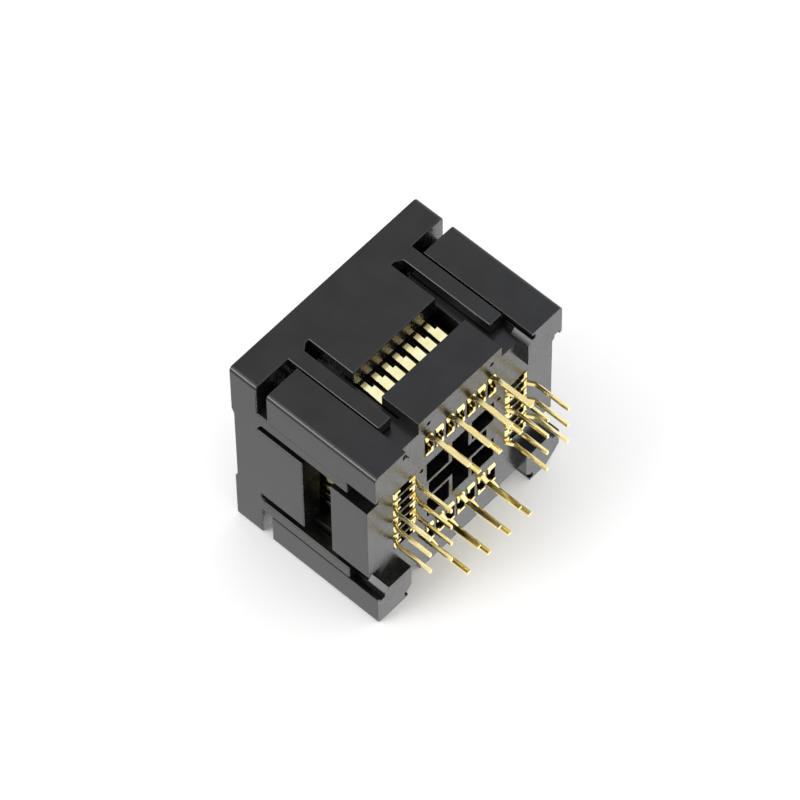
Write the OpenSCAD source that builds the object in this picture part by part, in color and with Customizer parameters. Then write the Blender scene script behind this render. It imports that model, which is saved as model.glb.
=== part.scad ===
// Open-top test socket for a square J-leaded chip carrier.
// A moulded base holds one formed contact for each lead. A moulded cover slides
// down on four springs to open the contacts, and snaps onto the base with a pair
// of tongues on each side.
// Millimetres, +Z up. The origin is at the middle of the socket, level with the
// feet that stand on the circuit board. The front is -Y and the right is +X.

/* [Leads] */
// Leads on each side of the carrier
leads_per_side = 7; // [5:1:9]
// Spacing of the leads
pitch = 1.27; // [1.2:0.01:1.4]
// Carrier body beyond the centre of its last lead
carrier_margin = 1.905; // [1.8:0.005:2.1]
// Distance that the leads stand out of the carrier body
lead_reach = 0.51; // [0.4:0.01:0.6]
// Gap between the carrier and its corner guides
carrier_fit = 0.135; // [0.08:0.005:0.25]

/* [Base] */
// Height of the feet, which lift the underside off the board
foot_h = 1.0; // [0.6:0.05:2]
// Thickness of the floor that holds the contacts
floor_t = 2.2; // [1.8:0.1:3]
// Height of the chip seat above the floor
seat_h = 3.8; // [3:0.1:5]
// Rib between the chip seat and the contact slots
seat_rib = 0.15; // [0.1:0.01:0.3]
// Height of the corner posts above the chip seat
post_rise = 4.95; // [4.5:0.05:6]
// Height of the low side walls above the underside
wall_h = 4.05; // [3:0.05:5]
// Thickness of the low side walls
wall_t = 1.8; // [1.2:0.1:2.4]
// Clear space between the contact slots and the side walls
wall_gap = 1.3; // [0.9:0.05:2]
// Side wall beyond the centre of its last lead
wall_margin = 1.19; // [1:0.01:1.4]
// Depth of the grooves that the cover's tongues run in
groove_d = 1.4; // [1.3:0.05:1.7]
// Distance from a groove's inner wall to the corner column behind it
column_step = 0.1; // [0.05:0.05:0.6]
// Amount that a foot reaches out of its post into the groove
foot_step = 0.45; // [0.2:0.05:0.8]
// Gap between a pressed tongue and the slanted fillet at its groove's foot
fillet_gap = 0.1; // [0.05:0.01:0.4]
// Radius of the upright outer edges
edge_r = 0.45; // [0.2:0.05:0.8]
// Length of the slanted cut on the marked corner
key_cut = 1.7; // [1:0.1:2.2]
// Slanted lead-in at the top of the corner guides
guide_lead_in = 0.75; // [0.3:0.05:0.8]
// Gap between the leads and the wall around them
nest_gap = 0.06; // [0.04:0.01:0.12]
// Thickness of that wall
nest_t = 0.6; // [0.4:0.05:0.8]
// Height of the wall above the chip seat
nest_h = 2.5; // [1.5:0.1:2.6]
// Distance from the contacts' knees down to the ribs between the contacts
comb_drop = 0.3; // [0.2:0.05:1]

/* [Underside cores] */
// Half width of the arms of the central cross
cross_half = 1.0; // [0.6:0.05:1.1]
// Plastic between the ends of the cross and the contact slots
cross_wall = 1.6; // [1:0.05:2]
// Amount that the cross's right arm is shorter than the others
cross_short = 0.65; // [0.2:0.05:1.2]
// Plastic left between the cross and the seat
cross_roof = 1.0; // [0.6:0.1:2]
// Rib between the cross and the square pockets
core_rib = 0.4; // [0.3:0.05:0.6]
// Plastic between the square pockets and the contact slots
pocket_wall = 1.35; // [1:0.05:2]
// Depth of the square pockets
pocket_d = 2.4; // [1:0.1:3]
// Radius of the ejector marks
mark_r = 0.22; // [0.1:0.01:0.3]
// Depth of the ejector marks
mark_d = 0.25; // [0.1:0.05:0.5]
// Distance from a wall's inner face to the marks under it
mark_from_wall = 0.6; // [0.4:0.05:1]
// Distance from the last lead's line to the marks beside the cores
mark_from_lead = 0.9; // [0.7:0.05:1]

/* [Cover] */
// Thickness of the cover's frame
cap_t = 3.0; // [2.4:0.1:4]
// Travel of the cover
travel = 1.1; // [0.6:0.05:1.4]
// Gap left over the posts when the cover is pressed down
stop_gap = 0.05; // [0.02:0.01:0.2]
// Height of the window between the skirt and the low wall
window_h = 3.15; // [2:0.05:3.6]
// Thickness of the skirt plates
skirt_t = 2.0; // [1.4:0.05:2.2]
// Gap between the skirt and the line of the groove's inner wall
skirt_inset = 0.05; // [0.02:0.01:0.2]
// Width of the slot between the skirt and a tongue
flex_slot_w = 1.0; // [0.6:0.05:1.4]
// Width of the tongues
tongue_w = 1.5; // [1.2:0.05:2]
// Gap between a tongue and the bottom of its groove
tongue_fit = 0.15; // [0.08:0.01:0.3]
// Gap between a tongue and the post beside it
tongue_gap = 0.15; // [0.08:0.01:0.3]
// Height of the tongue's end above the underside when pressed down
tongue_rise = 1.05; // [0.95:0.05:1.6]
// Leg of the slanted gusset at the top of each slot
gusset_w = 0.6; // [0.3:0.05:0.8]
// Height of that gusset
gusset_h = 0.45; // [0.3:0.05:0.8]
// Gap between the leads and the cover's opening
opening_gap = 0.225; // [0.1:0.005:0.5]
// Width of the slope around the opening
bevel_w = 1.85; // [1:0.05:2]
// Height of the slope around the opening
bevel_h = 1.9; // [1:0.05:2]
// Depth of the shallow recesses on the left and right of the top
grip_d = 0.25; // [0.1:0.05:0.5]
// Slanted end of those recesses
grip_slope = 0.5; // [0.2:0.05:0.8]
// Width of the cams that push the contacts open
cam_w = 1.5; // [1:0.1:1.8]
// Distance from the opening to the cams
cam_step = 0.25; // [0.1:0.05:0.5]
// Cam beyond the edge of its last contact
cam_margin = 0.2; // [0.1:0.05:0.3]
// Height of the pressed cams above the contacts at rest
cam_gap = 0.45; // [0.2:0.05:0.8]

/* [Snap catches] */
// Height of the lug near the end of each tongue
lug_h = 1.0; // [0.6:0.05:1.5]
// Amount that a lug stands out of its tongue
lug_w = 0.45; // [0.3:0.05:0.6]
// Thickness of a lug
lug_t = 0.4; // [0.25:0.05:0.45]
// Distance from the outer face to the lug
lug_inset = 0.4; // [0.35:0.05:0.5]
// Running gap around a lug
lug_gap = 0.1; // [0.06:0.01:0.15]
// Gap between a lug and the ledge that stops it
catch_gap = 0.05; // [0.02:0.01:0.1]

/* [Contacts] */
// Thickness of the contact strip
strip_t = 0.26; // [0.2:0.01:0.3]
// Width of the contact's legs
leg_w = 0.9; // [0.7:0.05:0.95]
// Width of the contact's spring arm
arm_w = 0.58; // [0.4:0.01:0.64]
// Gap between a leg and each side of its slot
slot_fit = 0.05; // [0.02:0.01:0.08]
// Length of the slots in the floor
slot_l = 2.75; // [2.4:0.05:3]
// Distance from the inner end of a slot to the carrier's side
slot_inset = 0.265; // [0.2:0.005:0.35]
// Length of the bent lips at the foot of the legs
lip_l = 0.35; // [0.2:0.05:0.5]
// Amount that the lips stand below the underside
lip_drop = 0.12; // [0.05:0.01:0.2]
// Outward lean of the leg between the floor and its shoulder
arm_lean = 0.58; // [0.3:0.01:0.65]
// Height above the floor where the leg starts to lean
lean_rise = 0.2; // [0.1:0.05:0.5]
// Distance from the top of the wide part of the leg up to the shoulder
leg_step = 1.0; // [0.5:0.1:2]
// Distance from the floor's faces to the web that joins the legs
web_inset = 0.3; // [0.2:0.05:0.6]
// Length of the heels that carry the web down to the lips at both legs
heel_l = 0.7; // [0.4:0.05:1]
// Height of the shoulder above the chip seat
shoulder_h = 1.4; // [1:0.05:1.8]
// Height of the arm's knee above the shoulder
knee_h = 2.3; // [1.6:0.05:2.35]
// Inward lean of the arm between its shoulder and its knee
knee_lean = 0.45; // [0.2:0.05:0.8]
// Drop of the arm from its knee to its tip
tip_drop = 0.75; // [0.4:0.05:1]
// Gap between the arm's tip and a lead
tip_gap = 0.15; // [0.1:0.01:0.3]
// Distance from the inner leg's top up to the seat
leg_drop = 0.8; // [0.7:0.05:1.5]
// Length of the tails below the board's surface
tail_l = 3.41; // [2.5:0.01:4.5]
// Width of the tails
tail_w = 0.45; // [0.35:0.01:0.5]
// Distance from the inner end of a slot to the inner row of tails
tail_row = 0.455; // [0.4:0.005:0.6]
// Height above the board where the tails are straight again
tail_set_z = 0.26; // [0.1:0.01:0.35]
// Distance from the underside down to the tails' first bend
tail_bend_drop = 0.1; // [0.05:0.01:0.15]

/* [Springs] */
// Outer diameter of the springs
spring_d = 2.0; // [1.6:0.05:2.2]
// Diameter of the spring wire
wire_d = 0.3; // [0.2:0.02:0.35]
// Turns of each spring
spring_turns = 8; // [6:1:9]
// Distance from the outer faces to a spring's centre
spring_inset = 3.5; // [3.4:0.05:3.6]
// Gap around a spring in its bore
spring_fit = 0.15; // [0.1:0.01:0.2]
// Height of a spring's foot above the underside
spring_foot = 4.0; // [3:0.1:5]
// Depth of the spring's seat in the cover
spring_seat_d = 1.2; // [0.8:0.1:1.6]

/* [Hidden] */
$fn = 48;

// Reach of a cut past the solid that it goes through
past = 1;
// Depth that a fillet is rooted in the solid behind it
root = 0.2;

// Sizes along a side, from its middle
row_half = (leads_per_side - 1) * pitch / 2;
slot_w = leg_w + 2 * slot_fit;
wall_half = row_half + wall_margin;
skirt_half = wall_half - skirt_inset;
column_in = wall_half + column_step;
tongue_in = skirt_half + flex_slot_w;
tongue_out = tongue_in + tongue_w;
post_in = tongue_out + tongue_gap;
foot_in = post_in - foot_step;

// Distances from the middle of the socket outwards
carrier_half = row_half + carrier_margin;
lead_face = carrier_half + lead_reach;
guide_half = carrier_half + carrier_fit;
nest_in = lead_face + nest_gap;
nest_out = nest_in + nest_t;
slot_in = carrier_half - slot_inset;
slot_out = slot_in + slot_l;
wall_in = slot_out + wall_gap;
half_w = wall_in + wall_t;
groove_r = half_w - groove_d;
tongue_r = groove_r + tongue_fit;
seat_half = slot_in - seat_rib;
spring_at = half_w - spring_inset;
opening_half = lead_face + opening_gap;
cam_in = opening_half + cam_step;
tail_in = slot_in + tail_row;
tail_out = tail_in + 2 * pitch;

// Heights above the board
floor_z = foot_h + floor_t;
seat_z = floor_z + seat_h;
nest_z = seat_z + nest_h;
post_top = seat_z + post_rise;
wall_z = foot_h + wall_h;
skirt_z = wall_z + window_h;
cap_z = post_top + stop_gap + travel;
cap_top = cap_z + cap_t;
fillet_z = foot_h + tongue_rise - fillet_gap;
tongue_z = foot_h + tongue_rise + travel;
ledge_z = tongue_z + lug_h + catch_gap;
guide_z = post_top - 2 * guide_lead_in;
spring_z = foot_h + spring_foot;
spring_top = cap_z + spring_seat_d;

// Heights of the contacts' bends
lip_z = foot_h - lip_drop + strip_t / 2;
lean_z = floor_z + lean_rise;
shoulder_z = seat_z + shoulder_h;
knee_z = shoulder_z + knee_h;
comb_z = knee_z - comb_drop;
cam_z = knee_z + strip_t / 2 + cam_gap + travel;
leg_top = seat_z - leg_drop;
web_z = foot_h + web_inset;
tail_bend_z = foot_h - tail_bend_drop;

// Lines of the contacts' legs
leg_out = slot_out - strip_t / 2;
leg_in = slot_in + strip_t / 2;

// Sides in the order that they are turned to, and the springs' corners
SIDES = ["right", "back", "left", "front"];
CORNERS = [[1, 1, "back_right"], [-1, 1, "back_left"], [-1, -1, "front_left"], [1, -1, "front_right"]];

function contact_name(side, i) = str("contact_", SIDES[side], "_", i + 1);
function spring_name(corner) = str("spring_", CORNERS[corner][2]);
function lead_at(i) = -row_half + i * pitch;

// Copies the children to the four sides, built along +X
module each_side() {
    for (side = [0 : 3]) rotate([0, 0, 90 * side]) children();
}

// Copies the children to both ends of each of the four sides
module each_end() {
    each_side() for (flip = [0, 1]) mirror([0, flip, 0]) children();
}

// A block between two corners
module block(low, high) {
    translate(low) cube(high - low);
}

// Plan of the socket, with round edges and one slanted corner
module outline() {
    difference() {
        union() {
            square([2 * half_w, 2 * (half_w - edge_r)], center = true);
            square([2 * (half_w - edge_r), 2 * half_w], center = true);
            for (x = [-1, 1]) for (y = [-1, 1])
                translate((half_w - edge_r) * [x, y]) circle(edge_r);
        }
        translate([half_w, half_w]) rotate(45) square(key_cut * sqrt(2), center = true);
    }
}

// Square hole that widens upwards from low_half to high_half
module funnel(low_half, high_half, low_z, high_z) {
    reach = high_half + past;
    profile = [[-low_half, low_z], [low_half, low_z], [high_half, high_z], [-high_half, high_z]];
    intersection() {
        rotate([90, 0, 0]) translate([0, 0, -reach]) linear_extrude(2 * reach) polygon(profile);
        rotate([90, 0, 90]) translate([0, 0, -reach]) linear_extrude(2 * reach) polygon(profile);
    }
}

// Four corner squares from inner to outer, between two heights
module corner_blocks(inner, outer, low_z, high_z) {
    for (x = [0, 1]) for (y = [0, 1]) mirror([x, 0, 0]) mirror([0, y, 0])
        block([inner, inner, low_z], [outer, outer, high_z]);
}

// Slots that the contacts are pressed into
module contact_slots() {
    each_side() for (i = [0 : leads_per_side - 1])
        block([slot_in, lead_at(i) - slot_w / 2, foot_h - past],
              [slot_out, lead_at(i) + slot_w / 2, floor_z + past]);
}

// Hollows that keep the thick middle of the base from sinking
module underside_cores() {
    cross_top = seat_z - cross_roof;
    cross_reach = slot_in - cross_wall;
    pocket_in = cross_half + core_rib;
    pocket_out = slot_in - pocket_wall;
    block([-cross_reach, -cross_half, foot_h - past], [cross_reach - cross_short, cross_half, cross_top]);
    block([-cross_half, -cross_reach, foot_h - past], [cross_half, cross_reach, cross_top]);
    corner_blocks(pocket_in, pocket_out, foot_h - past, foot_h + pocket_d);
}

// Wall around the leads, and a comb of ribs that part the contacts, built along +X
module nest() {
    rib_half = (pitch - slot_w) / 2;
    wall_end = column_in + root;
    block([nest_in, -wall_end, floor_z], [nest_out, wall_end, nest_z]);
    for (i = [0 : leads_per_side]) {
        rib_at = lead_at(i) - pitch / 2;
        block([nest_in, rib_at - rib_half, floor_z], [slot_out, rib_at + rib_half, comb_z]);
    }
}

// Small round marks that the mould's ejector pins leave
module ejector_marks() {
    under_wall = [row_half, -wall_in - mark_from_wall];
    beside_cores = [row_half + mark_from_lead, -row_half];
    for (x = [0, 1]) mirror([x, 0, 0]) for (spot = [under_wall, beside_cores])
        translate([spot.x, spot.y, foot_h - past]) cylinder(r = mark_r, h = past + mark_d);
}

module base() {
    color([0.13, 0.13, 0.13]) union() {
        difference() {
            union() {
                translate([0, 0, foot_h]) linear_extrude(floor_t) outline();
                each_side() block([wall_in, -wall_half, foot_h], [half_w, wall_half, wall_z]);
                intersection() {
                    linear_extrude(post_top) outline();
                    corner_blocks(post_in, half_w + past, 0, post_top);
                }
                corner_blocks(column_in, groove_r, foot_h, post_top);
                corner_blocks(foot_in, groove_r, 0, foot_h);
                block([-seat_half, -seat_half, floor_z], [seat_half, seat_half, seat_z]);
            }
            // Grooves for the tongues, and for the lugs beside them
            each_end() {
                block([groove_r, wall_half, -past], [half_w + past, post_in, floor_z + past]);
                block([half_w - lug_inset - lug_t - lug_gap, post_in - past, -past],
                      [half_w - lug_inset + lug_gap, tongue_out + lug_w + lug_gap, ledge_z]);
            }
            contact_slots();
            // Corner guides for the carrier, with their lead-in
            block([-guide_half, -guide_half, seat_z], [guide_half, guide_half, post_top + past]);
            funnel(guide_half, guide_half + guide_lead_in, guide_z, post_top);
            for (corner = CORNERS)
                translate([corner.x * spring_at, corner.y * spring_at, spring_z])
                    cylinder(d = spring_d + 2 * spring_fit, h = post_top);
            underside_cores();
            ejector_marks();
        }
        each_side() nest();
        // Slanted fillets at the feet of the grooves
        each_end() linear_extrude(fillet_z)
            polygon([[groove_r - root, foot_in], [groove_r, foot_in], [groove_r + foot_step, post_in],
                     [groove_r + foot_step, post_in + root], [groove_r - root, post_in + root]]);
    }
}

// Shallow recess across one end of the cover's top, built along +X
module grip_recess() {
    low_half = wall_half - grip_slope / 2;
    high_half = low_half + grip_slope;
    rotate([90, 0, 90]) translate([0, 0, opening_half])
        linear_extrude(half_w - opening_half + past)
            polygon([[-low_half, cap_top - grip_d], [low_half, cap_top - grip_d], [high_half, cap_top],
                     [high_half, cap_top + past], [-high_half, cap_top + past], [-high_half, cap_top]]);
}

// Skirt plate in the middle of a side, built along +X
module skirt() {
    block([half_w - skirt_t, -skirt_half, skirt_z], [half_w, skirt_half, cap_z]);
}

// Tongue with its lug and gusset, at the +Y end of the +X side
module tongue() {
    block([tongue_r, tongue_in, tongue_z], [half_w, tongue_out, cap_z]);
    block([half_w - lug_inset - lug_t, tongue_out, tongue_z],
          [half_w - lug_inset, tongue_out + lug_w, tongue_z + lug_h]);
    rotate([90, 0, 90]) translate([0, 0, tongue_r]) linear_extrude(half_w - tongue_r)
        polygon([[tongue_in - gusset_w, cap_z], [tongue_in, cap_z - gusset_h], [tongue_in, cap_z]]);
}

module cover() {
    cam_half = row_half + leg_w / 2 + cam_margin;
    color([0.15, 0.15, 0.15]) union() {
        difference() {
            translate([0, 0, cap_z]) linear_extrude(cap_t) outline();
            block([-opening_half, -opening_half, cap_z - past], [opening_half, opening_half, cap_top + past]);
            funnel(opening_half, opening_half + bevel_w, cap_top - bevel_h, cap_top);
            for (corner = CORNERS)
                translate([corner.x * spring_at, corner.y * spring_at, cap_z - past])
                    cylinder(d = spring_d + 2 * spring_fit, h = spring_seat_d + past);
            for (side = [0, 180]) rotate([0, 0, side]) grip_recess();
        }
        each_side() {
            skirt();
            block([cam_in, -cam_half, cam_z], [cam_in + cam_w, cam_half, cap_z]);
        }
        each_end() tongue();
    }
}

// Left-hand normal of the step from one point to the next
function normal(from, to) = let (step = (to - from) / norm(to - from)) [-step.y, step.x];

// Point at distance d beside bend i of a path, on the mitre of its two steps
function beside(path, i, d) =
    let (
        last = len(path) - 1,
        before = normal(path[max(i, 1) - 1], path[max(i, 1)]),
        after = normal(path[min(i, last - 1)], path[min(i, last - 1) + 1])
    )
    path[i] + d * (before + after) / (1 + before * after);

// Outline of a strip of the contact's thickness that follows a path
function ribbon(path) = concat(
    [for (i = [0 : len(path) - 1]) beside(path, i, strip_t / 2)],
    [for (i = [len(path) - 1 : -1 : 0]) beside(path, i, -strip_t / 2)]
);

// Strip bent along a path of [distance from the middle, height] points
module strip(path, low_y, high_y) {
    translate([0, high_y, 0]) rotate([90, 0, 0]) linear_extrude(high_y - low_y) polygon(ribbon(path));
}

// One contact, on the side that faces +X, for a lead in the middle of that side
module contact_form(outer_tail) {
    half_leg = leg_w / 2;
    shoulder = [leg_out + arm_lean, shoulder_z];
    step_z = shoulder_z - leg_step;
    step_r = leg_out + arm_lean * (step_z - lean_z) / (shoulder_z - lean_z);
    knee = [shoulder.x - knee_lean, knee_z];
    tip = [lead_face + tip_gap, knee_z - tip_drop];
    tail_at = outer_tail ? leg_out : leg_in;
    tail_r = outer_tail ? tail_out : tail_in;
    strip([[leg_out - lip_l, lip_z], [leg_out, lip_z], [leg_out, lean_z], [step_r, step_z]], -half_leg, half_leg);
    strip([[leg_out, lean_z], shoulder, knee, tip], -half_leg, arm_w - half_leg);
    strip([[leg_in + lip_l, lip_z], [leg_in, lip_z], [leg_in, leg_top]], -half_leg, half_leg);
    block([leg_in, half_leg - strip_t, web_z], [leg_out, half_leg, floor_z - web_inset]);
    for (heel_r = [leg_in, leg_out - heel_l])
        block([heel_r, half_leg - strip_t, foot_h - lip_drop], [heel_r + heel_l, half_leg, web_z]);
    strip([[tail_at, web_z], [tail_at, tail_bend_z], [tail_r, tail_set_z], [tail_r, -tail_l]],
          -tail_w / 2, tail_w / 2);
}

// The tails alternate between two rows, and start inside on the left and right
module contact(side, i) {
    color([0.85, 0.68, 0.35]) rotate([0, 0, 90 * side]) translate([0, lead_at(i), 0])
        contact_form((side + i) % 2 == 1);
}

// Height of the wire's centre after some turns: close at both ends, open between
function wire_z(turns) =
    let (
        close = 1.1 * wire_d,
        low = spring_z + wire_d / 2,
        high = spring_top - wire_d / 2,
        open = (high - low - 2 * close) / (spring_turns - 2)
    )
    turns < 1 ? low + turns * close
    : turns > spring_turns - 1 ? high - (spring_turns - turns) * close
    : low + close + (turns - 1) * open;

// Compression spring, as rings of points swept along its helix
module spring(corner) {
    steps_per_turn = 16;
    sides = 6;
    rings = spring_turns * steps_per_turn + 1;
    coil_r = (spring_d - wire_d) / 2;
    points = [for (ring = [0 : rings - 1]) let (turns = ring / steps_per_turn)
        for (k = [0 : sides - 1]) let (
            a = 360 * turns,
            b = 360 * k / sides,
            r = coil_r + wire_d / 2 * cos(b)
        ) [r * cos(a), r * sin(a), wire_z(turns) + wire_d / 2 * sin(b)]];
    skin = [for (ring = [0 : rings - 2]) for (k = [0 : sides - 1]) let (
        here = ring * sides,
        next = (k + 1) % sides
    ) each [[here + k, here + sides + k, here + next], [here + next, here + sides + k, here + sides + next]]];
    start = [[for (k = [0 : sides - 1]) k]];
    finish = [[for (k = [sides - 1 : -1 : 0]) (rings - 1) * sides + k]];
    color([0.75, 0.76, 0.78]) translate([CORNERS[corner].x * spring_at, CORNERS[corner].y * spring_at, 0])
        polyhedron(points, concat(skin, start, finish), convexity = 10);
}

base();
cover();
for (side = [0 : 3]) for (i = [0 : leads_per_side - 1])
    contact(side, i);
for (corner = [0 : 3])
    spring(corner);
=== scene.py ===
# %% [markdown]
# # A chip carrier test socket
#
# The object is a small black socket for testing chips. A moulded base holds
# twenty-eight gold-plated contacts, and a moulded cover slides on it against four
# springs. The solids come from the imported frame. This lesson gives each of them
# the rounder edges, the smoother bends and the finish that the eye expects.

# %% Load the frame
import math

import bmesh
import bpy
from mathutils import Matrix, Vector


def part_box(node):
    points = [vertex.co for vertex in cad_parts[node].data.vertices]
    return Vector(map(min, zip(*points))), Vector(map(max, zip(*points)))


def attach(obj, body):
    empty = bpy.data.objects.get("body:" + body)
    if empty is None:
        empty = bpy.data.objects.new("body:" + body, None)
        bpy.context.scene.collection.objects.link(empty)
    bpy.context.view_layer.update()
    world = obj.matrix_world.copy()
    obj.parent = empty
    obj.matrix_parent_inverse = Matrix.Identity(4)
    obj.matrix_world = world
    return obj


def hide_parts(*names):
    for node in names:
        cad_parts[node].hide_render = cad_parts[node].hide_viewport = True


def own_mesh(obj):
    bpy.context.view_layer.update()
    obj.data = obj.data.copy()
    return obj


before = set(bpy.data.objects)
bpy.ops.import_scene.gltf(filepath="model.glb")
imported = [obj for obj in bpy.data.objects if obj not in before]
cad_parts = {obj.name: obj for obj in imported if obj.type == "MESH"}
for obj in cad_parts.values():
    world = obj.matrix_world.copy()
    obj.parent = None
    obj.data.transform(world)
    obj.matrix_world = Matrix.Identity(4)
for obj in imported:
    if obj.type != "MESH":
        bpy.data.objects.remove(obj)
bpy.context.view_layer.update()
MM = 0.001
print("solids in the frame:", len(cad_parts))

# %% [markdown]
# ## The camera
#
# The socket lies on one side in the photograph, and the camera looks at its
# underside from the left. Everything here stays upright, so the camera goes below
# the socket instead and is rolled. A long lens keeps the edges nearly parallel.

# %% Place the camera
CAMERA_AT = Vector((-191.869, -416.641, -172.623)) * MM
CAMERA_RIGHT = Vector((0.67505, 0.00850, -0.73773)).normalized()
CAMERA_UP = Vector((0.62590, -0.53610, 0.56650)).normalized()
SENSOR_WIDTH = 36.0
LENS = 267.95
CLIP_NEAR = 0.01
CLIP_FAR = 10.0

camera_back = CAMERA_RIGHT.cross(CAMERA_UP).normalized()
camera_up = camera_back.cross(CAMERA_RIGHT)
camera = bpy.data.objects.new("camera", bpy.data.cameras.new("camera"))
camera.data.sensor_width = SENSOR_WIDTH
camera.data.lens = LENS
camera.data.clip_start = CLIP_NEAR
camera.data.clip_end = CLIP_FAR
camera.matrix_world = Matrix.Translation(CAMERA_AT) @ Matrix(
    (CAMERA_RIGHT, camera_up, camera_back)
).transposed().to_4x4()
bpy.context.scene.collection.objects.link(camera)
bpy.context.scene.camera = camera
print("camera distance, mm:", round(CAMERA_AT.length / MM))

# %% [markdown]
# ## Effects that several finishes share
#
# Moulded plastic, plated strip and drawn wire all have a fine unevenness that
# breaks up their reflections. It could be painted by hand, but at this size noise
# looks the same, so one node group makes it. A second group finds the edges, which
# rub lighter than the faces, by comparing the true normal with one that is rounded
# over a short distance.

# %% A small kit for node groups
def new_group(name, inputs, outputs):
    """A shader node group with float inputs, each with its default value."""
    group = bpy.data.node_groups.new(name, "ShaderNodeTree")
    for label, value in inputs.items():
        socket = group.interface.new_socket(label, in_out="INPUT", socket_type="NodeSocketFloat")
        socket.default_value = value
    for label in outputs:
        group.interface.new_socket(label, in_out="OUTPUT", socket_type="NodeSocketFloat")
    return group, group.nodes.new("NodeGroupInput"), group.nodes.new("NodeGroupOutput")


def maths(tree, operation, first, second):
    """A math node whose inputs are sockets or numbers; gives its output socket."""
    node = tree.nodes.new("ShaderNodeMath")
    node.operation = operation
    for slot, value in zip(node.inputs, (first, second)):
        if isinstance(value, bpy.types.NodeSocket):
            tree.links.new(value, slot)
        else:
            slot.default_value = value
    return node.outputs[0]


def noise(tree, scale, detail):
    """Noise over the object's own coordinates; gives its factor socket."""
    place = tree.nodes.new("ShaderNodeTexCoord").outputs["Object"]
    node = tree.nodes.new("ShaderNodeTexNoise")
    node.inputs["Detail"].default_value = detail
    tree.links.new(place, node.inputs["Vector"])
    if isinstance(scale, bpy.types.NodeSocket):
        tree.links.new(scale, node.inputs["Scale"])
    else:
        node.inputs["Scale"].default_value = scale
    return node.outputs["Fac"]


# %% The group that makes fine grain
MOTTLE_LOW = 0.35
MOTTLE_HIGH = 0.65


def build_fine_grain():
    """Grain for a bump, and a slow mottling between 0 and 1."""
    group, given, result = new_group(
        "fine_grain", {"Grain scale": 9000.0, "Mottle scale": 300.0}, ["Height", "Mottle"]
    )
    grain = noise(group, given.outputs["Grain scale"], detail=3.0)
    mottle = noise(group, given.outputs["Mottle scale"], detail=4.0)
    stretched = group.nodes.new("ShaderNodeMapRange")
    stretched.inputs["From Min"].default_value = MOTTLE_LOW
    stretched.inputs["From Max"].default_value = MOTTLE_HIGH
    group.links.new(mottle, stretched.inputs["Value"])
    group.links.new(grain, result.inputs["Height"])
    group.links.new(stretched.outputs["Result"], result.inputs["Mottle"])
    return group


fine_grain = build_fine_grain()
print("outputs of the grain group:", [item.name for item in fine_grain.interface.items_tree
                                      if item.in_out == "OUTPUT"])

# %% The group that finds rubbed edges
EDGE_SAMPLES = 4
EDGE_BREAK_SCALE = 2500.0


def build_rubbed_edges():
    """A mask that is 1 on the edges and 0 on the faces, broken up by noise."""
    group, given, result = new_group("rubbed_edges", {"Reach": 0.0001, "Amount": 1.0}, ["Mask"])
    rounded = group.nodes.new("ShaderNodeBevel")
    rounded.samples = EDGE_SAMPLES
    group.links.new(given.outputs["Reach"], rounded.inputs["Radius"])
    unrounded = group.nodes.new("ShaderNodeNewGeometry")
    agree = group.nodes.new("ShaderNodeVectorMath")
    agree.operation = "DOT_PRODUCT"
    group.links.new(rounded.outputs["Normal"], agree.inputs[0])
    group.links.new(unrounded.outputs["Normal"], agree.inputs[1])
    differ = maths(group, "SUBTRACT", 1.0, agree.outputs["Value"])
    broken = maths(group, "MULTIPLY", differ, noise(group, EDGE_BREAK_SCALE, detail=3.0))
    strong = maths(group, "MULTIPLY", broken, given.outputs["Amount"])
    limited = maths(group, "MINIMUM", strong, 1.0)
    group.links.new(limited, result.inputs["Mask"])
    return group


rubbed_edges = build_rubbed_edges()
print("shared groups:", [group.name for group in bpy.data.node_groups])

# %% [markdown]
# ## Helpers for the finishes
#
# Every finish here is one Principled shader fed by the shared groups. Values that
# are the same all over are set on the shader itself.

# %% Start a material, and mix between two colours
def start_material(name, **settings):
    """A material with one Principled shader; gives the material, its tree and the shader."""
    material = bpy.data.materials.new(name)
    material.use_nodes = True
    tree = material.node_tree
    shader = tree.nodes["Principled BSDF"]
    for label, value in settings.items():
        shader.inputs[label.replace("_", " ")].default_value = value
    return material, tree, shader


def place_group(tree, group, **values):
    """A shared group in a material, with that material's own values."""
    node = tree.nodes.new("ShaderNodeGroup")
    node.node_tree = group
    for label, value in values.items():
        node.inputs[label.replace("_", " ")].default_value = value
    return node


def mix_colours(tree, share, low, high):
    """A colour between low and high; each is a colour or a socket."""
    node = tree.nodes.new("ShaderNodeMix")
    node.data_type = "RGBA"
    tree.links.new(share, node.inputs["Factor"])
    for slot, colour in ((node.inputs["A"], low), (node.inputs["B"], high)):
        if isinstance(colour, bpy.types.NodeSocket):
            tree.links.new(colour, slot)
        else:
            slot.default_value = (*colour, 1.0)
    return node.outputs["Result"]


def spread(tree, share, low, high):
    """A number between low and high, for a share between 0 and 1."""
    node = tree.nodes.new("ShaderNodeMapRange")
    node.inputs["To Min"].default_value = low
    node.inputs["To Max"].default_value = high
    tree.links.new(share, node.inputs["Value"])
    return node.outputs["Result"]


def add_bump(tree, shader, height, strength, depth):
    """Feeds a height to the shader's normal."""
    node = tree.nodes.new("ShaderNodeBump")
    node.inputs["Strength"].default_value = strength
    node.inputs["Distance"].default_value = depth
    tree.links.new(height, node.inputs["Height"])
    tree.links.new(node.outputs["Normal"], shader.inputs["Normal"])


# %% [markdown]
# ## Black moulding plastic
#
# The base and the cover are a glass-filled black plastic with a satin skin. It is
# nearly black seen straight on and clearly grey at a slant, because what shows
# there is the reflection of a white room. So the base colour is very dark, and the
# roughness low enough to mirror the feet and the contacts a little.

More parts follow.
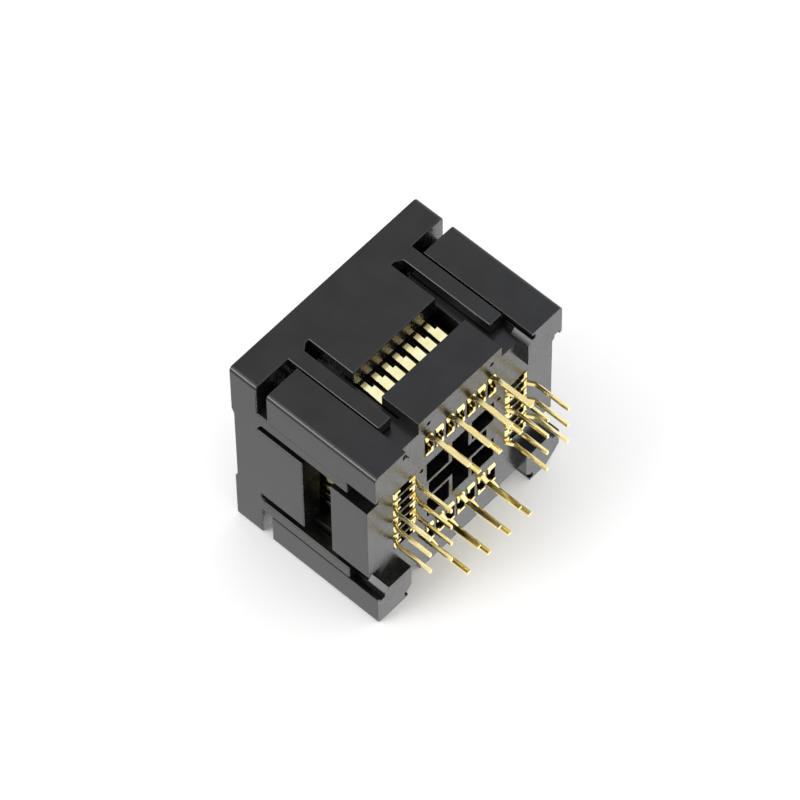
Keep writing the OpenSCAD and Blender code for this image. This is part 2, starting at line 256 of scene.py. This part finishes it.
# %% Build the black plastic
PLASTIC_DARK = (0.0028, 0.0028, 0.0029)
PLASTIC_LIGHT = (0.0062, 0.0062, 0.0063)
PLASTIC_RUBBED = (0.0300, 0.0300, 0.0300)
PLASTIC_ROUGHNESS = (0.21, 0.29)


def build_black_plastic():
    """Satin black plastic with fine grain, faint mottling and rubbed edges."""
    material, tree, shader = start_material("black_plastic", IOR=1.50)
    grain = place_group(tree, fine_grain, Grain_scale=11000.0, Mottle_scale=420.0)
    edges = place_group(tree, rubbed_edges, Reach=0.00010, Amount=1.4)
    face = mix_colours(tree, grain.outputs["Mottle"], PLASTIC_DARK, PLASTIC_LIGHT)
    colour = mix_colours(tree, edges.outputs["Mask"], face, PLASTIC_RUBBED)
    tree.links.new(colour, shader.inputs["Base Color"])
    gloss = spread(tree, grain.outputs["Mottle"], *PLASTIC_ROUGHNESS)
    tree.links.new(gloss, shader.inputs["Roughness"])
    add_bump(tree, shader, grain.outputs["Height"], strength=0.10, depth=0.000006)
    return material


black_plastic = build_black_plastic()
print("nodes in the plastic:", len(black_plastic.node_tree.nodes))

# %% [markdown]
# ## Gold plate and spring wire
#
# The contacts are stamped from copper alloy and plated with gold. Plating is
# smooth, with a slightly deeper tone where it is thin. The springs are plain drawn
# steel. Each metal could have a tree of its own, but they differ only in tone, gloss
# and grain, so one function builds both.

# %% Build the metals
GOLD_BRIGHT = (0.97, 0.85, 0.45)
GOLD_DEEP = (0.92, 0.76, 0.34)
STEEL_BRIGHT = (0.62, 0.62, 0.63)
STEEL_DULL = (0.42, 0.42, 0.43)
GOLD_ROUGHNESS = (0.12, 0.20)
STEEL_ROUGHNESS = (0.22, 0.34)


def build_metal(name, bright, deep, roughness, grain_scale):
    """A metal whose tone and gloss vary slowly over a fine grain."""
    material, tree, shader = start_material(name, Metallic=1.0)
    grain = place_group(tree, fine_grain, Grain_scale=grain_scale, Mottle_scale=700.0)
    tone = mix_colours(tree, grain.outputs["Mottle"], bright, deep)
    tree.links.new(tone, shader.inputs["Base Color"])
    gloss = spread(tree, grain.outputs["Mottle"], *roughness)
    tree.links.new(gloss, shader.inputs["Roughness"])
    add_bump(tree, shader, grain.outputs["Height"], strength=0.08, depth=0.000005)
    return material


contact_gold = build_metal("contact_gold", GOLD_BRIGHT, GOLD_DEEP, GOLD_ROUGHNESS, grain_scale=7000.0)
spring_steel = build_metal("spring_steel", STEEL_BRIGHT, STEEL_DULL, STEEL_ROUGHNESS, grain_scale=9000.0)
print("finishes:", black_plastic.name, contact_gold.name, spring_steel.name)

# %% [markdown]
# ## Softened mouldings
#
# No moulded edge is perfectly sharp. A thin round along each edge catches the light
# and draws the bright lines that make the shape readable. The solids have sharp
# edges, so each moulding gets a copy of its solid, cleaned to flat faces, with a
# weighted bevel: wider on the outer edges, which are handled, and narrow inside.
# Then each face's corners are told which way to face, because plain smoothing
# would bend the light on a flat wall wherever several rounds meet at its corner.

# %% Helpers for meshes
SMOOTH_ANGLE = math.radians(32)
FLAT_FACE_WEIGHT = 80


def link_piece(name, mesh, material, body, node):
    """Links a finished mesh as a piece that rides on a body in place of a solid."""
    mesh.materials.clear()
    mesh.materials.append(material)
    piece = bpy.data.objects.new(name, mesh)
    bpy.context.scene.collection.objects.link(piece)
    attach(piece, body)
    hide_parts(node)
    return piece


def with_modifier(mesh, kind, **settings):
    """A copy of a mesh as one modifier leaves it."""
    holder = bpy.data.objects.new("holder", mesh)
    bpy.context.scene.collection.objects.link(holder)
    modifier = holder.modifiers.new(kind.lower(), kind)
    for label, value in settings.items():
        setattr(modifier, label, value)
    graph = bpy.context.evaluated_depsgraph_get()
    result = bpy.data.meshes.new_from_object(holder.evaluated_get(graph), depsgraph=graph)
    result.name = mesh.name
    bpy.data.objects.remove(holder)
    return result


def shade(mesh):
    """Smooth bends and sharp corners, with the flat faces kept flat to the eye."""
    mesh.shade_smooth()
    mesh.set_sharp_from_angle(angle=SMOOTH_ANGLE)
    return with_modifier(mesh, "WEIGHTED_NORMAL", weight=FLAT_FACE_WEIGHT, keep_sharp=True)


# %% Keep flat faces flat
# Facets of a curved wall meet at less than 16 degrees, steps of a round at less than 50.
# A round's own faces count only where no flat face is near enough to them.
FACET_COSINE = math.cos(math.radians(16))
ROUND_COSINE = math.cos(math.radians(50))
ROUND_WEIGHT = 0.000001


def flatten_shading(mesh):
    """Bends the light only in the rounds, which are the faces with material index 1."""
    facings = [face.normal.copy() for face in mesh.polygons]
    rounds = [face.material_index == 1 for face in mesh.polygons]
    weights = [face.area / MM ** 2 for face in mesh.polygons]
    faces_at = [[] for vertex in mesh.vertices]
    for face in mesh.polygons:
        for corner in face.vertices:
            faces_at[corner].append(face.index)
    normals = []
    for face in mesh.polygons:
        for corner in face.vertices:
            total = Vector((0, 0, 0))
            for other in faces_at[corner]:
                limit = ROUND_COSINE if rounds[face.index] or rounds[other] else FACET_COSINE
                share = ROUND_WEIGHT if rounds[other] else 1.0
                if facings[face.index].dot(facings[other]) > limit:
                    total += facings[other] * weights[other] * share
            normals.append(total.normalized())
    mesh.shade_smooth()
    mesh.normals_split_custom_set(normals)
    for face in mesh.polygons:
        face.material_index = 0
    return mesh


# %% Copy a moulding and round its edges
OUTER_ROUND = 0.13 * MM
INNER_SHARE = 0.35
ROUND_SEGMENTS = 3
WELD = 0.0001 * MM
FLAT_ANGLE = math.radians(0.6)


def is_corner(edge):
    """True for an outward edge between two faces at a clear angle."""
    return len(edge.link_faces) == 2 and edge.calc_face_angle_signed(0.0) > SMOOTH_ANGLE


def softened_copy(node, name, outer):
    """A copy of a solid's mesh with its outward edges rounded."""
    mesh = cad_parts[node].data.copy()
    mesh.name = name
    shell = bmesh.new()
    shell.from_mesh(mesh)
    bmesh.ops.remove_doubles(shell, verts=shell.verts, dist=WELD)
    bmesh.ops.dissolve_limit(
        shell, angle_limit=FLAT_ANGLE, verts=shell.verts, edges=shell.edges, delimit={"NORMAL"}
    )
    weight = shell.edges.layers.float.new("bevel_weight_edge")
    corners = [edge for edge in shell.edges if is_corner(edge)]
    for edge in corners:
        middle = (edge.verts[0].co + edge.verts[1].co) / 2
        edge[weight] = 1.0 if outer(middle) else INNER_SHARE
    print(name, "corners:", len(corners))
    for face in shell.faces:
        face.material_index = 0
    shell.to_mesh(mesh)
    shell.free()
    # The second slot only marks the faces that the bevel adds.
    mesh.materials.clear()
    mesh.materials.append(black_plastic)
    mesh.materials.append(black_plastic)
    rounded = with_modifier(
        mesh, "BEVEL", limit_method="WEIGHT", width=OUTER_ROUND, segments=ROUND_SEGMENTS, material=1
    )
    print(name, "faces:", len(mesh.polygons), "before,", len(rounded.polygons), "after")
    return flatten_shading(rounded)


# %% Build the two mouldings
HALF_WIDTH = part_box("base")[1].x
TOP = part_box("cover")[1].z
OUTER_BAND = 0.3 * MM


def on_the_outside(point):
    """True within a thin band of the socket's four sides or its top."""
    sides = max(abs(point.x), abs(point.y)) > HALF_WIDTH - OUTER_BAND
    return sides or point.z > TOP - OUTER_BAND


for node in ("base", "cover"):
    name = node + "_moulding"
    moulding = softened_copy(node, name, on_the_outside)
    link_piece(name, moulding, black_plastic, node, node)
print("half width, mm:", round(HALF_WIDTH / MM, 2), "top, mm:", round(TOP / MM, 2))

# %% [markdown]
# ## Contacts
#
# Each contact is stamped from strip and folded: two legs joined by a web, a spring
# arm that leans over the chip's lead, and a solder tail. Folded strip bends round a
# radius, so a path of corner points is turned into short straight runs and arcs,
# and the strip's rectangle is swept along it. Modelling the arcs by hand for every
# contact would drift, so one function makes them all.

# %% Round the corners of a path
SETBACK_SHARE = 0.45


def left_of(direction):
    """The direction a quarter turn to the left, in the plane of the path."""
    return Vector((-direction.y, direction.x))


def turned(vector, angle):
    """A 2D vector turned to the left by an angle."""
    cosine, sine = math.cos(angle), math.sin(angle)
    return Vector((vector.x * cosine - vector.y * sine, vector.x * sine + vector.y * cosine))


def rounded_path(corners, radius, steps=5):
    """Points along a path with arcs at its corners, each with its left-hand normal."""
    corners = [Vector(corner) for corner in corners]
    first = (corners[1] - corners[0]).normalized()
    stops = [(corners[0], left_of(first))]
    for before, corner, after in zip(corners, corners[1:], corners[2:]):
        way_in, way_out = (corner - before), (after - corner)
        angle = way_in.angle_signed(way_out) * -1.0
        room = SETBACK_SHARE * min(way_in.length, way_out.length)
        setback = min(radius * math.tan(abs(angle) / 2), room)
        arc = setback / math.tan(abs(angle) / 2)
        way_in.normalize()
        start = corner - way_in * setback
        centre = start + left_of(way_in) * math.copysign(arc, angle)
        for step in range(steps + 1):
            turn = angle * step / steps
            stops.append((centre + turned(start - centre, turn), turned(left_of(way_in), turn)))
    last = (corners[-1] - corners[-2]).normalized()
    stops.append((corners[-1], left_of(last)))
    return stops


# %% Sweep a strip along a path
STRIP = 0.26
STRIP_BEND = 0.30
STRIP_EDGE = 0.035


def sweep_strip(shell, corners, low_y, high_y, thickness=STRIP):
    """Adds a bent strip to a mesh, in millimetres."""
    rings = []
    for point, normal in rounded_path(corners, STRIP_BEND):
        out, back = point + normal * thickness / 2, point - normal * thickness / 2
        rings.append([
            shell.verts.new((r * MM, y * MM, z * MM))
            for (r, z), y in ((out, low_y), (back, low_y), (back, high_y), (out, high_y))
        ])
    for ring, following in zip(rings, rings[1:]):
        for k in range(4):
            shell.faces.new((ring[k], ring[(k + 1) % 4], following[(k + 1) % 4], following[k]))
    shell.faces.new(rings[0][::-1])
    shell.faces.new(rings[-1])


def add_plate(shell, low, high):
    """Adds a flat plate between two corners to a mesh, in millimetres."""
    middle = (Vector(low) + Vector(high)) / 2 * MM
    size = (Vector(high) - Vector(low)) * MM
    matrix = Matrix.Translation(middle) @ Matrix.Diagonal((*size, 1.0))
    bmesh.ops.create_cube(shell, size=1.0, matrix=matrix)


# %% Measures of a contact, in millimetres
# HAIR keeps faces apart that would lie in one plane and flicker.
HAIR = 0.004
LEADS = 7
PITCH = 1.27
LEG_WIDTH = 0.90
ARM_WIDTH = 0.58
TAIL_WIDTH = 0.45
LEG_OUT = 8.07
LEG_IN = 5.58
TAIL_IN = 5.905
TAIL_OUT = TAIL_IN + 2 * PITCH
LIP = 0.35
LIP_Z = 1.01
LIP_DROP = 0.12
HEEL = 0.70
UNDERSIDE_Z = 1.00
FLOOR_Z = 3.20
LEAN_Z = 3.40
STEP = (8.534, 7.40)
SHOULDER = (8.65, 8.40)
KNEE = (8.20, 10.70)
TIP = (6.375, 9.95)
INNER_TOP_Z = 6.20
WEB_INSET = 0.30
TAIL_BEND_Z = 0.90
TAIL_SET_Z = 0.26
TAIL_END_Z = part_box("contact_front_1")[0].z / MM

# %% Build one contact
def contact_mesh(name, outer_tail):
    """The mesh of one contact, built for the side that faces +X."""
    half = LEG_WIDTH / 2
    shell = bmesh.new()
    sweep_strip(shell, [(LEG_OUT - LIP, LIP_Z), (LEG_OUT, LIP_Z), (LEG_OUT, LEAN_Z), STEP], -half, half)
    arm = [(LEG_OUT, LEAN_Z), SHOULDER, KNEE, TIP]
    sweep_strip(shell, arm, HAIR - half, ARM_WIDTH - half, STRIP - 2 * HAIR)
    sweep_strip(shell, [(LEG_IN + LIP, LIP_Z), (LEG_IN, LIP_Z), (LEG_IN, INNER_TOP_Z)], -half, half)
    add_plate(
        shell,
        (LEG_IN, half - STRIP, UNDERSIDE_Z + WEB_INSET),
        (LEG_OUT, half - HAIR, FLOOR_Z - WEB_INSET),
    )
    for heel in (LEG_IN, LEG_OUT - HEEL):
        add_plate(
            shell,
            (heel, half - STRIP, UNDERSIDE_Z - LIP_DROP + HAIR),
            (heel + HEEL, half - 2 * HAIR, UNDERSIDE_Z + WEB_INSET + HAIR),
        )
    leg, row = (LEG_OUT, TAIL_OUT) if outer_tail else (LEG_IN, TAIL_IN)
    tail = [(leg, UNDERSIDE_Z + WEB_INSET), (leg, TAIL_BEND_Z), (row, TAIL_SET_Z), (row, TAIL_END_Z)]
    sweep_strip(shell, tail, -TAIL_WIDTH / 2, TAIL_WIDTH / 2)
    bmesh.ops.recalc_face_normals(shell, faces=shell.faces)
    edges = [edge for edge in shell.edges if is_corner(edge)]
    bmesh.ops.bevel(
        shell, geom=edges, offset=STRIP_EDGE * MM, segments=2, profile=0.5,
        affect="EDGES", clamp_overlap=True,
    )
    mesh = bpy.data.meshes.new(name)
    shell.to_mesh(mesh)
    shell.free()
    return mesh


# %% Place a contact for every lead
SIDES = ("right", "back", "left", "front")


def place_contacts():
    """One contact a lead, turned to its side; the two rows of tails alternate."""
    for side, side_name in enumerate(SIDES):
        for i in range(LEADS):
            label = f"{side_name}_{i + 1}"
            mesh = contact_mesh("gold_contact_" + label, (side + i) % 2 == 1)
            along = (i - (LEADS - 1) / 2) * PITCH * MM
            turn = Matrix.Rotation(math.radians(90 * side), 4, "Z")
            mesh.transform(turn @ Matrix.Translation((0, along, 0)))
            mesh = shade(mesh)
            node = "contact_" + label
            link_piece("gold_contact_" + label, mesh, contact_gold, "base", node)
            if i == 0:
                low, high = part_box(node)
                past = [max(low[k] - corner.co[k], corner.co[k] - high[k])
                        for corner in mesh.vertices for k in range(3)]
                print(label, "faces:", len(mesh.polygons), "past its solid, mm:", round(max(past) / MM, 3))


place_contacts()

# %% [markdown]
# ## Springs
#
# Four compression springs sit in the corners. The solid's helix is a coarse sweep,
# so each gets a smooth one with round wire. The end turns close up, as they do on a
# real spring.

# %% Build and place the springs
SPRING_TURNS = 8
WIRE = 0.30
CLOSE_PITCH = 1.1 * WIRE
STEPS_PER_TURN = 28
WIRE_SIDES = 12


def wire_height(turns, low, high):
    """Height of the wire's centre after some turns: close at the ends, open between."""
    open_pitch = (high - low - 2 * CLOSE_PITCH) / (SPRING_TURNS - 2)
    if turns < 1:
        return low + turns * CLOSE_PITCH
    if turns > SPRING_TURNS - 1:
        return high - (SPRING_TURNS - turns) * CLOSE_PITCH
    return low + CLOSE_PITCH + (turns - 1) * open_pitch


def spring_mesh(name, low, high):
    """A helix of round wire inside the box of its solid."""
    centre, radius = (low + high) / 2 / MM, (high.x - low.x) / 2 / MM - WIRE / 2
    floor, roof = low.z / MM + WIRE / 2, high.z / MM - WIRE / 2
    shell = bmesh.new()
    rings = []
    for step in range(SPRING_TURNS * STEPS_PER_TURN + 1):
        turns = step / STEPS_PER_TURN
        coil_angle = 2 * math.pi * turns
        height = wire_height(turns, floor, roof)
        ring = []
        for side in range(WIRE_SIDES):
            wire_angle = 2 * math.pi * side / WIRE_SIDES
            out = radius + WIRE / 2 * math.cos(wire_angle)
            x = centre.x + out * math.cos(coil_angle)
            y = centre.y + out * math.sin(coil_angle)
            z = height + WIRE / 2 * math.sin(wire_angle)
            ring.append(shell.verts.new(Vector((x, y, z)) * MM))
        rings.append(ring)
    for ring, following in zip(rings, rings[1:]):
        for side in range(WIRE_SIDES):
            after = (side + 1) % WIRE_SIDES
            shell.faces.new((ring[side], following[side], following[after], ring[after]))
    shell.faces.new(rings[0])
    shell.faces.new(rings[-1][::-1])
    mesh = bpy.data.meshes.new(name)
    bmesh.ops.recalc_face_normals(shell, faces=shell.faces)
    shell.to_mesh(mesh)
    shell.free()
    return shade(mesh)


for corner in ("front_left", "front_right", "back_left", "back_right"):
    node = "spring_" + corner
    low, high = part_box(node)
    helix = spring_mesh("coil_" + corner, low, high)
    coil = link_piece("coil_" + corner, helix, spring_steel, "base", node)
    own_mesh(coil)

# %% [markdown]
# ## Table and floor
#
# The photograph shows the socket on a white table, which is the plane behind it
# here. A second plane under the tails serves the upright views. Plain sheets would
# shut out half of the white room that the plastic mirrors, so only the camera sees
# these, and only from the front. The table is also clear to a camera that isn't well
# below it, because an upright socket has no wall beside it. Both fade out into the
# white room, so that no view shows where they end, and the table does so nearest,
# because the photograph keeps only the shade at the lower left.

# %% Paper that only the camera sees, from the front
PAPER_WHITE = (0.90, 0.90, 0.90)
WELL_BELOW = -0.2


def fade_out(tree, place, centre, start, end):
    """A share that falls from 1 to 0 between two distances from a centre."""
    distance = tree.nodes.new("ShaderNodeVectorMath")
    distance.operation = "DISTANCE"
    distance.inputs[1].default_value = centre
    tree.links.new(place, distance.inputs[0])
    fade = tree.nodes.new("ShaderNodeMapRange")
    fade.interpolation_type = "SMOOTHSTEP"
    fade.inputs["From Min"].default_value = start
    fade.inputs["From Max"].default_value = end
    fade.inputs["To Min"].default_value = 1.0
    fade.inputs["To Max"].default_value = 0.0
    tree.links.new(distance.outputs["Value"], fade.inputs["Value"])
    return fade.outputs["Result"]


def build_paper(name, fade, from_below):
    """White paper that is clear from behind, to bounced light and far from the socket."""
    material = bpy.data.materials.new(name)
    material.use_nodes = True
    tree = material.node_tree
    tree.nodes.clear()
    output = tree.nodes.new("ShaderNodeOutputMaterial")
    paper = tree.nodes.new("ShaderNodeBsdfDiffuse")
    paper.inputs["Color"].default_value = (*PAPER_WHITE, 1.0)
    clear = tree.nodes.new("ShaderNodeBsdfTransparent")
    seen = tree.nodes.new("ShaderNodeLightPath").outputs["Is Camera Ray"]
    surface = tree.nodes.new("ShaderNodeNewGeometry")
    share = maths(tree, "MULTIPLY", seen, maths(tree, "SUBTRACT", 1.0, surface.outputs["Backfacing"]))
    if from_below:
        to_camera = tree.nodes.new("ShaderNodeSeparateXYZ")
        tree.links.new(surface.outputs["Incoming"], to_camera.inputs["Vector"])
        below = maths(tree, "LESS_THAN", to_camera.outputs["Z"], WELL_BELOW)
        share = maths(tree, "MULTIPLY", share, below)
    near = fade_out(tree, surface.outputs["Position"], *fade)
    share = maths(tree, "MULTIPLY", share, near)
    mix = tree.nodes.new("ShaderNodeMixShader")
    tree.links.new(share, mix.inputs["Fac"])
    tree.links.new(clear.outputs[0], mix.inputs[1])
    tree.links.new(paper.outputs[0], mix.inputs[2])
    tree.links.new(mix.outputs[0], output.inputs["Surface"])
    return material


# %% Lay the table and the floor
PAPER_REACH = 0.6
CLEARANCE = 0.02 * MM
# Each fade is a centre, then the distances where it starts and ends.
TABLE_FADE = ((-0.012, 0.0113, 0.0), 0.0, 0.075)
FLOOR_FADE = ((0.0, 0.0, 0.0), 0.03, 0.25)


def lay_paper(name, centre, across, along, fade, from_below):
    """A square of paper; its front faces along across x along."""
    across, along = Vector(across) * PAPER_REACH, Vector(along) * PAPER_REACH
    mesh = bpy.data.meshes.new(name)
    corners = [centre - across - along, centre + across - along, centre + across + along,
               centre - across + along]
    mesh.from_pydata(corners, [], [(0, 1, 2, 3)])
    mesh.materials.append(build_paper(name + "_paper", fade, from_below))
    sheet = bpy.data.objects.new(name, mesh)
    bpy.context.scene.collection.objects.link(sheet)


table_middle = Vector((0, HALF_WIDTH + CLEARANCE, 0))
floor_middle = Vector((0, 0, TAIL_END_Z * MM - CLEARANCE))
lay_paper("table", table_middle, (1, 0, 0), (0, 0, 1), TABLE_FADE, from_below=True)
lay_paper("floor", floor_middle, (1, 0, 0), (0, 1, 0), FLOOR_FADE, from_below=False)
print("table and floor, mm across:", round(2 * PAPER_REACH / MM))

# %% [markdown]
# ## Light
#
# The photograph is lit like a catalogue picture: white all round, with one lamp on
# the left that draws the bright edges. A picture of a studio could be wrapped round
# the scene, but a room that brightens towards one side and three square lamps are
# enough for so few shapes, and easier to change. A softbox in front lifts the faces
# that look up, and a small cool card whitens the gold in the window. The camera sees
# neither the lamps nor the change in the room, so the background stays white.

# %% Light the room
ROOM_MIDDLE = 1.06
ROOM_CHANGE = 0.60
BRIGHT_SIDE = (0.55, 0.30, -0.78)


def build_room():
    """A room that is brighter towards one side, and plain white to the camera."""
    world = bpy.data.worlds.new("room")
    bpy.context.scene.world = world
    world.use_nodes = True
    tree = world.node_tree
    towards = tree.nodes.new("ShaderNodeVectorMath")
    towards.operation = "DOT_PRODUCT"
    direction = tree.nodes.new("ShaderNodeTexCoord").outputs["Generated"]
    tree.links.new(direction, towards.inputs[0])
    towards.inputs[1].default_value = Vector(BRIGHT_SIDE).normalized()
    change = maths(tree, "MULTIPLY", towards.outputs["Value"], ROOM_CHANGE)
    lit = maths(tree, "ADD", change, ROOM_MIDDLE)
    seen = tree.nodes.new("ShaderNodeLightPath").outputs["Is Camera Ray"]
    room = tree.nodes["Background"]
    room.inputs["Color"].default_value = (1.0, 1.0, 1.0, 1.0)
    tree.links.new(maths(tree, "MAXIMUM", lit, seen), room.inputs["Strength"])


def add_lamp(name, direction, distance, size, radiance, tint):
    """A soft square lamp that faces the socket from a direction."""
    data = bpy.data.lights.new(name, "AREA")
    data.color = tint
    data.size = size
    data.energy = radiance * math.pi * size * size
    lamp = bpy.data.objects.new(name, data)
    towards = Vector(direction).normalized()
    lamp.location = towards * distance
    lamp.rotation_euler = towards.to_track_quat("Z", "Y").to_euler()
    lamp.visible_camera = False
    bpy.context.scene.collection.objects.link(lamp)


NEUTRAL = (1.0, 1.0, 1.0)
COOL = (0.15, 0.40, 1.0)

build_room()
add_lamp("left_lamp", (-0.820, -0.44, 0.367), distance=0.60, size=0.34, radiance=7.0, tint=NEUTRAL)
add_lamp("top_softbox", (-0.30, -0.85, 0.35), distance=0.80, size=0.40, radiance=1.5, tint=NEUTRAL)
add_lamp("cool_card", (0.39, -0.905, 0.167), distance=0.80, size=0.20, radiance=0.5, tint=COOL)
view = bpy.context.scene.view_settings
view.view_transform = "Standard"
view.look = "None"
